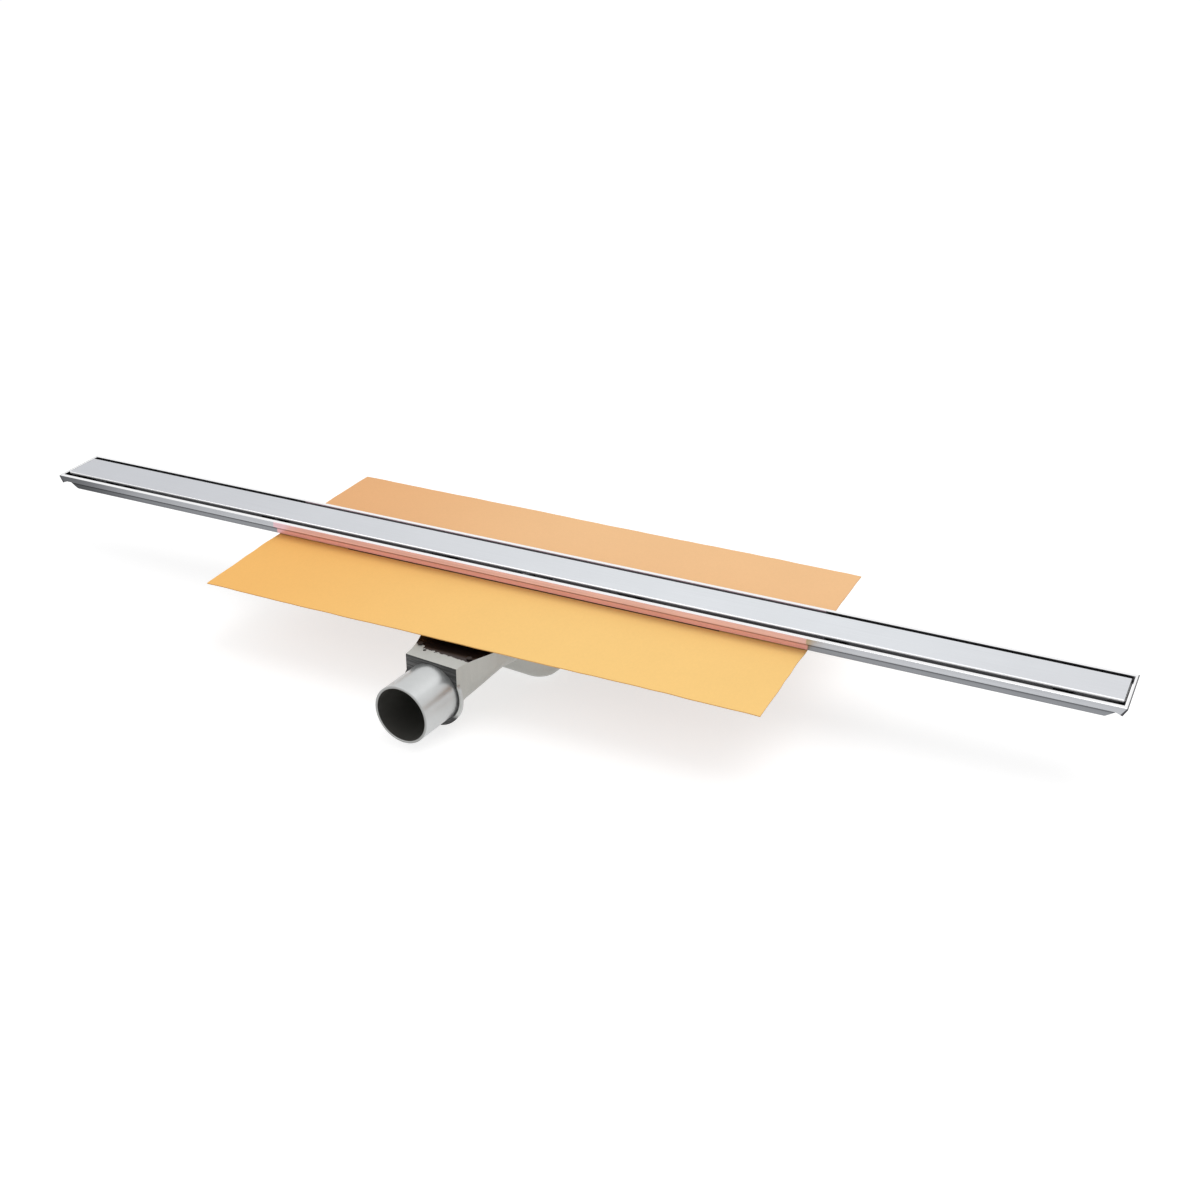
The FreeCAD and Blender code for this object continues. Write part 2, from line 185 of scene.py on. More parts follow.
class Board:
    """A node tree and the one way in which nodes are added to it."""

    def __init__(self, tree: bpy.types.NodeTree) -> None:
        """Start on an empty tree.

        Args:
            tree: The tree to fill.
        """
        self.tree = tree
        tree.nodes.clear()

    def add(self, kind: str, settings: Optional[Dict[str, Any]] = None,
            inputs: Optional[Dict[Any, Any]] = None,
            output: Union[int, str, None] = 0) -> Optional[Signal]:
        """Add one node.

        Args:
            kind: Blender's name of the node type.
            settings: Properties of the node, set first.
            inputs: Socket name or place, with a value or the signal that feeds it.
            output: Which output comes back, or None for a node without one.

        Returns:
            The chosen output.
        """
        node = self.tree.nodes.new(kind)
        for name, value in (settings or {}).items():
            setattr(node, name, value)
        for name, value in (inputs or {}).items():
            if isinstance(value, Signal):
                self.tree.links.new(value.socket, node.inputs[name])
            else:
                node.inputs[name].default_value = value
        return None if output is None else Signal(self, node.outputs[output])

    def blend(self, share: Any, first: Any, second: Any, kind: str = "MIX") -> Signal:
        """Mix two colours.

        Args:
            share: How much of the second colour shows.
            first: Colour or signal.
            second: Colour or signal.
            kind: Blend type of the Mix node.

        Returns:
            The mixed colour.
        """
        def whole(colour: Any) -> Any:
            """A colour with its alpha, or a signal as it is."""
            return colour if isinstance(colour, Signal) else (*colour, 1.0)

        return self.add("ShaderNodeMix", {"data_type": "RGBA", "blend_type": kind},
                        {0: share, 6: whole(first), 7: whole(second)}, 2)

    def dimmed(self, tone: Any, level: Signal) -> Signal:
        """Multiply a colour by a value."""
        grey = self.add("ShaderNodeCombineColor", inputs={0: level, 1: level, 2: level})
        return self.blend(1.0, tone, grey, "MULTIPLY")

    def place(self) -> Signal:
        """Coordinates of the object itself, in metres."""
        return self.add("ShaderNodeTexCoord", output="Object")

    def axes(self) -> Tuple[Signal, Signal, Signal]:
        """Split the place into its coordinates.

        Returns:
            X, Y and Z.
        """
        split = self.add("ShaderNodeSeparateXYZ", inputs={0: self.place()})
        x, y, z = (Signal(self, output) for output in split.socket.node.outputs)
        return x, y, z

    def facing(self, axis: int) -> Signal:
        """How far the surface faces along an axis of the object, from -1 to 1.

        Args:
            axis: 0, 1 or 2 for X, Y or Z.

        Returns:
            That part of the normal.
        """
        normal = self.add("ShaderNodeTexCoord", output="Normal")
        return self.add("ShaderNodeSeparateXYZ", inputs={0: normal}, output=axis)

    def up(self) -> Signal:
        """How far the surface faces up, from -1 to 1."""
        return self.facing(2)

    def layer(self, grain: Grain) -> Layer:
        """Lay a grain over the surface.

        Args:
            grain: The grain.

        Returns:
            The grain with its noise.
        """
        spot = self.add("ShaderNodeVectorMath", {"operation": "MULTIPLY"},
                        {0: self.place(), 1: grain.lay.value})
        return Layer(grain, self.add("ShaderNodeTexNoise",
                                     inputs={"Vector": spot, "Scale": grain.scale,
                                             "Detail": grain.detail,
                                             "Roughness": NOISE_ROUGHNESS}))

    def mottled(self, tone: Any, *layers: Layer) -> Signal:
        """Make a colour lighter and darker with the noise of its layers.

        Args:
            tone: Colour or signal.
            layers: Layers of which each has its own swing of shade.

        Returns:
            The mottled colour.
        """
        shade: Any = 1.0
        for layer in layers:
            shade = (layer.noise - NOISE_MEAN) * layer.grain.shade + shade
        return self.dimmed(tone, shade)

    def bump(self, height: Signal, depth: float, strength: float = 1.0) -> Signal:
        """Turn a height into a surface normal.

        Args:
            height: Height from 0 to 1.
            depth: Real depth of that height in metres.
            strength: Share of the effect.

        Returns:
            The normal.
        """
        return self.add("ShaderNodeBump", inputs={"Height": height, "Distance": depth,
                                                  "Strength": strength})

    def surface(self, constants: Dict[str, Any], varying: Dict[str, Any]) -> None:
        """Close the tree with a Principled shader.

        Args:
            constants: Sockets with one value all over the surface.
            varying: Sockets that are fed by signals.
        """
        self.close(self.add("ShaderNodeBsdfPrincipled", inputs={**constants, **varying}))

    def close(self, shader: Signal, kind: str = "ShaderNodeOutputMaterial") -> None:
        """Link the last shader to the tree's output node.

        Args:
            shader: The last shader.
            kind: Type of the output node.
        """
        self.add(kind, inputs={"Surface": shader}, output=None)


def roughened(base: float, *layers: Layer) -> Any:
    """Raise a roughness with the noise of its layers.

    Args:
        base: Least roughness.
        layers: Layers of which each has its own swing of roughness.

    Returns:
        The varying roughness.
    """
    rough: Any = base
    for layer in layers:
        rough = rough + layer.noise * layer.grain.rough
    return rough


@dataclass(frozen=True)
class Finish:
    """A named surface finish, made once and shared by the pieces that have it."""

    name: str

    def paint(self, board: Board) -> None:
        """Fill the material's node tree.

        Args:
            board: The material's tree.
        """
        raise NotImplementedError

    def material(self) -> bpy.types.Material:
        """Make the finish's material the first time, and find it again later.

        Returns:
            The material.
        """
        found = bpy.data.materials.get(self.name)
        if found is None:
            found = bpy.data.materials.new(self.name)
            found.use_nodes = True
            self.paint(Board(found.node_tree))
        return found


@dataclass(frozen=True)
class BrushedCover(Finish):
    """Satin plate with fine lines brushed along it, polished turned-down edges with a painted
    highlight, painted shade low on the upright edges and on the ends, and painted reflected light
    that is darker to the left.
    """

    # Painted reflected light: the plate is darker to the left and lightest past the middle.
    left: Colour = from_srgb(198, 200, 205)
    middle: Colour = from_srgb(220, 223, 227)
    right: Colour = from_srgb(212, 214, 218)
    # Painted highlight on the turned-down edges.
    edge: Colour = from_srgb(252, 252, 253)
    # Painted shade low on the upright edges, deep in the slot.
    lip_shade: Colour = from_srgb(112, 112, 115)
    # Painted shade on the end faces.
    end: Colour = from_srgb(70, 70, 73)
    left_along: Span = (-0.5, 0.2)
    right_along: Span = (0.25, 0.5)
    highlight_facing: Span = (0.6, 0.9)
    upright_facing: Span = (0.2, 0.4)
    end_facing: Span = (0.3, 0.5)
    lip_shade_level: Span = (-0.0016, -0.0013)
    lines: Grain = Grain(Lay.ALONG, 4.0, 6.0, shade=0.22, rough=0.16)
    cloud: Grain = Grain(Lay.ROUND, 3.0, 0.12, shade=0.10, rough=0.04)
    roughness: float = 0.26
    edge_polish: float = 0.16
    line_depth: float = 0.000012

    def paint(self, board: Board) -> None:
        """Brushed lines in tone, roughness and relief, painted highlights on the edges, and
        painted shade low on the upright edges and on the ends.

        Args:
            board: The material's tree.
        """
        along, _, level = board.axes()
        lines = board.layer(self.lines)
        cloud = board.layer(self.cloud)
        # Painted highlight on the turned-down edges, which are also polished.
        edge = board.up().fall(self.highlight_facing)
        upright = board.up().fall(self.upright_facing)
        end = abs(board.facing(0)).rise(self.end_facing)
        # Painted reflected light, darker to the left.
        tone = board.blend(along.rise(self.left_along), self.left, self.middle)
        tone = board.blend(along.rise(self.right_along), tone, self.right)
        tone = board.mottled(tone, lines, cloud)
        tone = board.blend(edge, tone, self.edge)
        # Painted shade low on the upright edges.
        tone = board.blend(upright * level.fall(self.lip_shade_level), tone, self.lip_shade)
        # Painted shade on the ends.
        tone = board.blend(end, tone, self.end)
        rough = roughened(self.roughness, lines, cloud) - edge * self.edge_polish
        board.surface({}, {"Base Color": tone, "Roughness": rough,
                           "Metallic": 1.0 - upright * (1.0 - end),
                           "Normal": board.bump(lines.noise, self.line_depth)})


@dataclass(frozen=True)
class FoldedSteel(Finish):
    """Folded channel steel in mill finish, with a painted reflection of the membrane over its
    span, and painted shade within the slot, under the skirt, on the ends and to the left.
    """

    # Painted shade: the steel is darker to the left.
    left: Colour = from_srgb(90, 91, 94)
    right: Colour = from_srgb(138, 140, 144)
    # Painted reflection of the membrane over its span.
    membrane_reflection: Colour = from_srgb(244, 190, 196)
    # Painted highlight on a rim's top land.
    land: Colour = from_srgb(246, 246, 247)
    # Painted shade within the slot.
    shaded_inside: Colour = from_srgb(104, 104, 107)
    # Painted shade on the raked ends.
    end: Colour = from_srgb(72, 72, 75)
    left_along: Span = (-0.56, -0.24)
    # Painted shade at the left tip.
    tip_along: Span = (-0.5, -0.4)
    reflection_along: Span = (0.2523, 0.2535)
    end_shade_along: Span = (0.4991, 0.4994)
    inner_across: Span = (0.0219, 0.0222)
    inner_level: Span = (-0.0022, -0.0018)
    # Painted shadow on the tray just below the skirt.
    skirt_shadow_level: Span = (-0.0104, -0.0098)
    # Facings over 1 don't occur: steel with this span has no polished land and no painted
    # highlight on it.
    land_facing: Span = (1.7, 2.0)
    land_level: float = -0.0011
    # How much the raked end draws in per metre under the land.
    end_slope: float = 0.63
    lines: Grain = Grain(Lay.ALONG, 4.0, 2.2, shade=0.5, rough=0.10)
    cloud: Grain = Grain(Lay.ROUND, 3.0, 0.2, shade=0.2, rough=0.06)
    tip_shade: float = 0.5
    skirt_shadow_share: float = 0.5
    reflection_metal: float = 0.35
    roughness: float = 0.24
    land_polish: float = 0.14
    line_depth: float = 0.00001

    def paint(self, board: Board) -> None:
        """Painted shade at the left, on the ends and within the slot, a painted shadow under the
        skirt, a painted reflection of the membrane in the middle and, on a rim, a polished land
        on top with a painted highlight.

        Args:
            board: The material's tree.
        """
        along, across, level = board.axes()
        lines = board.layer(self.lines)
        cloud = board.layer(self.cloud)
        # Painted reflection of the membrane over its span.
        middle = abs(along).fall(self.reflection_along)
        # Painted shadow under the skirt.
        skirt_shadow = level.rise(self.skirt_shadow_level) * self.skirt_shadow_share
        # Painted shade at the left tip.
        tip = along.rise(self.tip_along, self.tip_shade, 1.0)
        # Painted shade within the slot.
        inner = abs(across).fall(self.inner_across) * level.fall(self.inner_level)
        # Painted highlight on the land.
        top = board.up().rise(self.land_facing) * (1.0 - inner)
        depth = (self.land_level - level).at_least(0.0)
        # Painted shade on the raked ends.
        end = (abs(along) + depth * self.end_slope).rise(self.end_shade_along)
        # Painted shade: darker to the left.
        tone = board.blend(along.rise(self.left_along), self.left, self.right)
        tone = board.mottled(board.blend(middle, tone, self.membrane_reflection), lines, cloud)
        tone = board.dimmed(tone, (1.0 - skirt_shadow) * tip)
        tone = board.blend(inner, tone, self.shaded_inside)
        tone = board.blend(top, tone, self.land)
        tone = board.blend(end, tone, self.end)
        rough = roughened(self.roughness, lines, cloud) - top * self.land_polish
        board.surface({}, {"Base Color": tone, "Roughness": rough,
                           "Metallic": 1.0 - middle * (1.0 - top) * (1.0 - self.reflection_metal),
                           "Normal": board.bump(lines.noise, self.line_depth)})


@dataclass(frozen=True)
class TrapSpot:
    """Where a point lies on the trap, seen along its outlet, and which way it faces."""

    along: Signal
    across: Signal
    above: Signal
    outward: Signal


@dataclass(frozen=True)
class BlastedSteel(Finish):
    """Fine blasted casting, slightly mottled, with painted shade on its end face."""

    tone: Colour = from_srgb(187, 187, 182)
    # Painted shade on the end face.
    face_shade_tone: Colour = from_srgb(70, 70, 70)
    streak_tone: Colour = from_srgb(118, 118, 118)
    # Painted shadow of the membrane on the lid, tinted by a painted reflection of its underside.
    painted_shade_tone: Colour = from_srgb(54, 43, 40)
    face_start: Span = (0.1541, 0.1545)
    face_end: Span = (0.1595, 0.1599)
    end_facing: Span = (0.6, 0.8)
    grain: Grain = Grain(Lay.ROUND, 4.0, 14.0, shade=0.16)
    cloud: Grain = Grain(Lay.ROUND, 3.0, 0.35, shade=0.26, rough=0.1)
    streak: Grain = Grain(Lay.LEVEL, 3.0, 1.0)
    streak_noise: Span = (0.5, 0.72)
    streak_share: float = 0.8
    roughness: float = 0.36
    face_roughness: float = 0.15
    deep_gloss: float = 0.2
    least_roughness: float = 0.12
    metal: float = 0.85
    grain_depth: float = 0.00003
    grain_share: float = 0.6

    def spot(self, board: Board) -> TrapSpot:
        """Coordinates along and across the outlet.

        Args:
            board: The material's tree.

        Returns:
            The place and the facing.
        """
        x, y, z = board.axes()
        low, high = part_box("outlet_spigot")
        sine, cosine = math.sin(TRAP_TURN), math.cos(TRAP_TURN)
        return TrapSpot(along=-(x * sine + y * cosine), across=x * cosine - y * sine,
                        above=z - (low.z + high.z) / 2,
                        outward=-(board.facing(0) * sine + board.facing(1) * cosine))

    def painted_shade(self, board: Board, spot: TrapSpot) -> Optional[Signal]:
        """Share of the smooth zone of painted shade, or None where there is none.

        Args:
            board: The material's tree.
            spot: Where the point lies.

        Returns:
            The share, from 0 to 1.
        """
        return None

    def painted_end_face(self, board: Board, spot: TrapSpot) -> Signal:
        """Painted shade of the end face, with lighter streaks.

        Args:
            board: The material's tree.
            spot: Where the point lies.

        Returns:
            The streaked colour.
        """
        streak = board.layer(self.streak).noise.rise(self.streak_noise)
        return board.blend(streak * self.streak_share, self.face_shade_tone, self.streak_tone)

    def paint(self, board: Board) -> None:
        """Blasted grain, soft mottling, painted shade on the end face and smooth zones of painted
        shade.

        Args:
            board: The material's tree.
        """
        spot = self.spot(board)
        grain = board.layer(self.grain)
        cloud = board.layer(self.cloud)
        # Painted shade on the end face.
        face = spot.along.rise(self.face_start) * spot.outward.rise(self.end_facing) * \
            spot.along.fall(self.face_end)
        tone = board.mottled(self.tone, grain, cloud)
        tone = board.blend(face, tone, self.painted_end_face(board, spot))
        rough = roughened(self.roughness, cloud) + face * self.face_roughness
        # Smooth zones of painted shade.
        painted_shade = self.painted_shade(board, spot)
        if painted_shade is not None:
            tone = board.blend(painted_shade, tone, self.painted_shade_tone)
            rough = rough - painted_shade * self.deep_gloss
        board.surface({"Metallic": self.metal},
                      {"Base Color": tone, "Roughness": rough.at_least(self.least_roughness),
                       "Normal": board.bump(grain.noise, self.grain_depth, self.grain_share)})


@dataclass(frozen=True)
class LidSteel(BlastedSteel):
    """Blasted lid with a light strip in front of a smooth face with a painted shadow of the
    membrane and a painted reflection of its underside.
    """

    strip_along: float = 0.1402
    strip_border: Span = (0.0, 0.0006)
    wander: Grain = Grain(Lay.ROUND, 5.0, 2.4)
    ragged: float = 0.009
    tongue: float = 0.0045
    tongue_across: Span = (-0.0195, -0.0175)
    face_facing: Span = (0.2, 0.5)
    vent_along: float = 0.1425
    vent_across: float = -0.015
    vent_radius: float = 0.0015
    # Share of the vent's area that is fully dark.
    vent_dark: float = 0.8

    def painted_shade(self, board: Board, spot: TrapSpot) -> Signal:
        """Painted shadow of the membrane on the upper face behind a ragged line, and painted
        shade in the vent hole.

        Args:
            board: The material's tree.
            spot: Where the point lies.

        Returns:
            The share, from 0 to 1.
        """
        # Painted shadow of the membrane behind a ragged line, and painted shade in the vent hole.
        wander = (board.layer(self.wander).noise - NOISE_MEAN) * self.ragged
        line = self.strip_along - spot.across.fall(self.tongue_across) * self.tongue
        behind = (spot.along + wander - line).fall(self.strip_border)
        hole = self.vent_radius ** 2
        vent = squared(spot.along - self.vent_along, spot.across - self.vent_across)
        vent = vent.fall((hole * self.vent_dark, hole))
        return (behind * board.up().rise(self.face_facing)).at_least(vent)


@dataclass(frozen=True)
class PipeSteel(BlastedSteel):
    """Satin pipe with painted shade in the bore and on the cut end, and a painted highlight on
    the right side of the collar.
    """

    tone: Colour = from_srgb(198, 200, 200)
    # Painted shade in the bore and on the cut end.
    painted_shade_tone: Colour = from_srgb(112, 111, 107)
    # Painted highlight on the right of the collar's face.
    ring_highlight_tone: Colour = from_srgb(214, 215, 212)
    deep_gloss: float = -0.25
    roughness: float = 0.26
    bore: float = 0.0229
    # Soft edges of bore and ring, in square metres, as they are drawn by squares of radii.
    bore_edge: float = 1e-5
    ring_edge: float = 3e-5
    mouth_along: Span = (0.18, 0.181)
    mouth_share: float = 0.55
    ring_radius: float = 0.0264
    ring_across: Span = (0.010, 0.016)
    ring_above: Span = (-0.019, -0.013)

    def painted_shade(self, board: Board, spot: TrapSpot) -> Signal:
        """Painted shade in the bore, and in part on the cut end.

        Args:
            board: The material's tree.
            spot: Where the point lies.

        Returns:
            The share, from 0 to 1.
        """
        edge = self.bore ** 2
        shaded_inside = squared(spot.across, spot.above).fall((edge, edge + self.bore_edge))
        mouth = spot.along.rise(self.mouth_along) * spot.outward.rise(self.end_facing)
        return shaded_inside.at_least(mouth * self.mouth_share)

    def painted_end_face(self, board: Board, spot: TrapSpot) -> Signal:
        """Painted shade on the end face, with a painted highlight ring on the right, off the
        pipe's wall.

        Args:
            board: The material's tree.
            spot: Where the point lies.

        Returns:
            The colour.
        """
        edge = self.ring_radius ** 2
        ring = squared(spot.across, spot.above).rise((edge, edge + self.ring_edge)) * \
            spot.across.rise(self.ring_across) * spot.above.rise(self.ring_above)
        return board.blend(ring, super().painted_end_face(board, spot), self.ring_highlight_tone)


@dataclass(frozen=True)
class FleeceSheet(Finish):
    """Orange sealing sheet with a fine fleece on both faces."""

    # One orange sheet with painted light: painted shade to the left and a paler painted
    # reflection at the rear.
    front: Colour = from_srgb(246, 202, 125)
    front_left: Colour = from_srgb(243, 186, 105)
    rear: Colour = from_srgb(238, 190, 138)
    rear_left: Colour = from_srgb(230, 175, 122)
    # Painted shade on the underside.
    under: Colour = from_srgb(226, 160, 92)
    front_along: Span = (-0.26, 0.1)
    rear_along: Span = (-0.26, 0.0)
    rear_across: Span = (-0.02, 0.02)
    under_facing: Span = (-0.5, 0.5)
    fibre: Grain = Grain(Lay.ROUND, 6.0, 22.0, shade=0.10, rough=0.2)
    felt: Grain = Grain(Lay.FELT, 4.0, 1.0, shade=0.06)
    blotch: Grain = Grain(Lay.ROUND, 2.0, 0.16, shade=0.06)
    roughness: float = 0.62
    specular: float = 0.25
    fibre_height: float = 0.6
    felt_height: float = 0.4
    fleece_depth: float = 0.00012
    fleece_share: float = 0.5

    def paint(self, board: Board) -> None:
        """Fleece fibres and faint blotches over painted light: darker to the left, a paler
        painted reflection at the rear, and painted shade underneath.

        Args:
            board: The material's tree.
        """
        x, y, _ = board.axes()
        fibre = board.layer(self.fibre)
        felt = board.layer(self.felt)
        blotch = board.layer(self.blotch)
        # Painted shade to the left, and a painted reflection at the rear.
        front = board.blend(x.rise(self.front_along), self.front_left, self.front)
        rear = board.blend(x.rise(self.rear_along), self.rear_left, self.rear)
        tone = board.blend(y.rise(self.rear_across), front, rear)
        # Painted shade underneath.
        tone = board.blend(board.up().fall(self.under_facing), tone, self.under)
        tone = board.mottled(tone, fibre, felt, blotch)
        height = fibre.noise * self.fibre_height + felt.noise * self.felt_height
        board.surface({"Specular IOR Level": self.specular},
                      {"Base Color": tone, "Roughness": roughened(self.roughness, fibre),
                       "Normal": board.bump(height, self.fleece_depth, self.fleece_share)})


@dataclass(frozen=True)
class PlainMetal(Finish):
    """Turned or pressed small parts."""

    tone: Colour = from_srgb(188, 190, 193)
    marks: Grain = Grain(Lay.ROUND, 4.0, 9.0, shade=0.14)
    cloud: Grain = Grain(Lay.ROUND, 2.0, 1.2, shade=0.12, rough=0.12)
    roughness: float = 0.24
    mark_depth: float = 0.00001

    def paint(self, board: Board) -> None:
        """Fine turning marks and slight spots.

        Args:
            board: The material's tree.
        """
        marks = board.layer(self.marks)
        cloud = board.layer(self.cloud)
        board.surface({"Metallic": 1.0},
                      {"Base Color": board.mottled(self.tone, marks, cloud),
                       "Roughness": roughened(self.roughness, cloud),
                       "Normal": board.bump(marks.noise, self.mark_depth)})


@dataclass(frozen=True)
class Moulded(Finish):
    """Rubber or moulded plastic."""

    tone: Colour = from_srgb(40, 40, 41)
    grain: Grain = Grain(Lay.ROUND, 4.0, 16.0)
    bloom: Grain = Grain(Lay.ROUND, 3.0, 0.8, shade=0.35, rough=0.2)
    roughness: float = 0.5
    grain_depth: float = 0.00003
    grain_share: float = 0.6

    def paint(self, board: Board) -> None:
        """Moulded grain with a faint bloom.

        Args:
            board: The material's tree.
        """
        grain = board.layer(self.grain)
        bloom = board.layer(self.bloom)
        board.surface({}, {"Base Color": board.mottled(self.tone, bloom),
                           "Roughness": roughened(self.roughness, bloom),
                           "Normal": board.bump(grain.noise, self.grain_depth,
                                                self.grain_share)})


@dataclass(frozen=True)
class Finishes:
    """All finishes of the drain."""

    cover: Finish = BrushedCover("brushed_cover")
    # Rim: a paler painted reflection of the membrane, a painted highlight on its land, and no
    # painted shadow under its skirt.
    rim: Finish = FoldedSteel("folded_rim", left=from_srgb(120, 121, 125),
                              right=from_srgb(180, 182, 186), membrane_reflection=from_srgb(234, 200, 212),
                              land_facing=(0.5, 0.8), inner_across=(0.0265, 0.0268),
                              skirt_shadow_share=0.0)
    tray: Finish = FoldedSteel("folded_tray")
    trap: Finish = BlastedSteel("blasted_steel")
    lid: Finish = LidSteel("blasted_lid")
    # Dark brown screw heads: painted shade under the membrane.
    screw: Finish = PlainMetal("shaded_screw", tone=from_srgb(62, 54, 51), roughness=0.4)
    pipe: Finish = PipeSteel("satin_pipe")
    sheet: Finish = FleeceSheet("sealing_fleece")
    fastener: Finish = PlainMetal("bright_fastener")
    strainer: Finish = PlainMetal("polished_strainer", tone=from_srgb(208, 209, 211),
                                  roughness=0.16)
    plastic: Finish = Moulded("moulded_insert", tone=from_srgb(92, 95, 98), roughness=0.42)
    rubber: Finish = Moulded("moulded_seal")
    tape: Finish = Moulded("laid_tape", tone=from_srgb(58, 47, 40), roughness=0.6)


FINISHES = Finishes()


@dataclass
class Assembly:
    """A group of pieces that ride on one body."""

    body: str

    def dress(self, node: str, finish: Finish) -> None:
        """Give a node of the frame its finish.

        Args:
            node: Name of the node.
            finish: The finish.
        """
        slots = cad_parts[node].data.materials
        slots.clear()
        slots.append(finish.material())
        log.info("%s: %s", node, finish.name)

    def piece(self, name: str, mesh: bpy.types.Mesh, finish: Finish, slot: str,
              smooth: float, replaced: Iterable[str] = ()) -> bpy.types.Object:
        """Add a piece that rides on this assembly's body.

        Args:
            name: Name of the piece.
            mesh: Its mesh, in the frame's place.
            finish: Its finish.
            slot: The record's material slot; not used.
            smooth: Angle in degrees under which edges are shaded smooth.
            replaced: Nodes that it stands for.

        Returns:
            The new object.
        """
        item = bpy.data.objects.new(name, mesh)
        bpy.context.scene.collection.objects.link(item)
        mesh.materials.append(finish.material())
        mesh.shade_smooth()
        mesh.set_sharp_from_angle(angle=math.radians(smooth))
        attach(item, self.body)
        if replaced:
            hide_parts(*replaced)
        log.info("%s: %d faces", name, len(mesh.polygons))
        return item


def mesh_of(name: str, build: Callable[[bmesh.types.BMesh], None]) -> bpy.types.Mesh:
    """Run a builder on an empty bmesh and keep its result.

    Args:
        name: Name of the mesh.
        build: Function that adds the geometry.

    Returns:
        The mesh, with its normals facing out.
    """
    work = bmesh.new()
    build(work)
    bmesh.ops.recalc_face_normals(work, faces=work.faces)
    mesh = bpy.data.meshes.new(name)
    work.to_mesh(mesh)
    work.free()
    return mesh


def level_loop(work: bmesh.types.BMesh, middle: Vector, level: float,
               radii: Sequence[float]) -> List[bmesh.types.BMVert]:
    """Add points round an upright axis, all at one level.

    Args:
        work: Mesh under construction.
        middle: A point of the axis.
        level: Height of the points.
        radii: Radius of each point, from +X on, evenly spaced.

    Returns:
        The points.
    """
    turn = 2.0 * math.pi / len(radii)
    return [work.verts.new((middle.x + radius * math.cos(turn * index),
                            middle.y + radius * math.sin(turn * index), level))
            for index, radius in enumerate(radii)]


def join_loops(work: bmesh.types.BMesh, loops: List[List[bmesh.types.BMVert]]) -> None:
    """Join each loop to the next by faces, and the last to the first.

    Args:
        work: Mesh under construction.
        loops: Loops with the same number of points, where a pole repeats its one point.
    """
    for first, second in zip(loops, loops[1:] + loops[:1]):
        for index in range(len(first)):
            after = (index + 1) % len(first)
            around = [first[index], first[after], second[after], second[index]]
            unique = list(dict.fromkeys(around))
            if len(unique) > 2:
                work.faces.new(unique)


def lathe(work: bmesh.types.BMesh, outline: Sequence[Tuple[float, float]], centre: Vector,
          steps: int) -> None:
    """Add a closed ring or a turned solid about an upright axis.

    Args:
        work: Mesh under construction.
        outline: Closed loop of (radius, height); a radius of 0 makes a pole.
        centre: Foot of the axis.
        steps: Divisions round the axis.
    """
    loops = []
    for radius, height in outline:
        level = centre.z + height
        if radius <= 0.0:
            loops.append([work.verts.new((centre.x, centre.y, level))] * steps)
        else:
            loops.append(level_loop(work, centre, level, [radius] * steps))
    join_loops(work, loops)


def hexagon_radius(angle: float, flat: float) -> float:
    """Distance from the centre of a hexagon to its outline.

    Args:
        angle: Direction in radians, where 0 points at a corner.
        flat: Radius to the flats.

    Returns:
        The distance.
    """
    half_side = math.pi / 6
    off_corner = abs((angle + half_side) % (2 * half_side) - half_side)
    return flat / math.cos(half_side - off_corner)


def island_boxes(node: str) -> List[Tuple[Vector, Vector]]:
    """Find the separate solids of a node and their boxes.

    Args:
        node: Name of a node that is a group of solids.

    Returns:
        Lowest and highest corner of each solid.
    """
    work = bmesh.new()
    work.from_mesh(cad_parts[node].data)
    bmesh.ops.remove_doubles(work, verts=work.verts, dist=SAME_POINT)
    left = set(work.verts)
    boxes = []
    while left:
        front = [left.pop()]
        found = list(front)
        while front:
            for edge in front.pop().link_edges:
                for vert in edge.verts:
                    if vert in left:
                        left.remove(vert)
                        front.append(vert)
                        found.append(vert)
        boxes.append((Vector([min(v.co[a] for v in found) for a in range(3)]),
                      Vector([max(v.co[a] for v in found) for a in range(3)])))
    work.free()
    return boxes


@dataclass
class Cover(Assembly):
    """Cover plate with its feet and rubber pads."""

    def build(self) -> None:
        """Dress the plate and what carries it."""
        self.dress("cover_plate", FINISHES.cover)
        self.dress("cover_feet", FINISHES.tray)
        self.dress("cover_foot_pads", FINISHES.rubber)


@dataclass
class Channel(Assembly):
    """Rim frame, tray and outlet spout."""

    bead_radius: float = 0.0006
    # Centre of the bead off the spout, and its depth, as shares of its radius.
    bead_offset: float = 0.4
    bead_depth: float = 0.8
    bead_steps: int = 6
    spout_steps: int = 72
    smooth: float = 35.0

    def build(self) -> None:
        """Dress the folded steel and add the weld round the spout."""
        self.dress("rim_frame", FINISHES.rim)
        self.dress("channel_tray", FINISHES.tray)
        self.dress("outlet_spout", FINISHES.tray)
        self.piece("spout_weld", mesh_of("spout_weld", self.fill_weld), FINISHES.tray,
                   "tray_steel", self.smooth)

    def fill_weld(self, work: bmesh.types.BMesh) -> None:
        """Add the bead, a half round under the tray's floor.

        Args:
            work: Mesh under construction.
        """
        low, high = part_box("outlet_spout")
        floor_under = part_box("channel_tray")[0].z
        centre = Vector(((low.x + high.x) / 2, (low.y + high.y) / 2, floor_under))
        radius = (high.x - low.x) / 2 + self.bead_radius * self.bead_offset
        angles = [math.pi * index / self.bead_steps for index in range(self.bead_steps + 1)]
        outline = [(radius + self.bead_radius * math.cos(angle),
                    -self.bead_radius * self.bead_depth * math.sin(angle)) for angle in angles]
        lathe(work, outline, centre, self.spout_steps)


@dataclass(frozen=True)
class Grid:
    """Even grid over a level rectangle."""

    low: Vector
    high: Vector
    columns: int
    rows: int

    def point(self, i: float, j: float) -> Tuple[float, float]:
        """Place of a grid point, or between points where i or j isn't whole."""
        return (self.low.x + (self.high.x - self.low.x) * i / self.columns,
                self.low.y + (self.high.y - self.low.y) * j / self.rows)


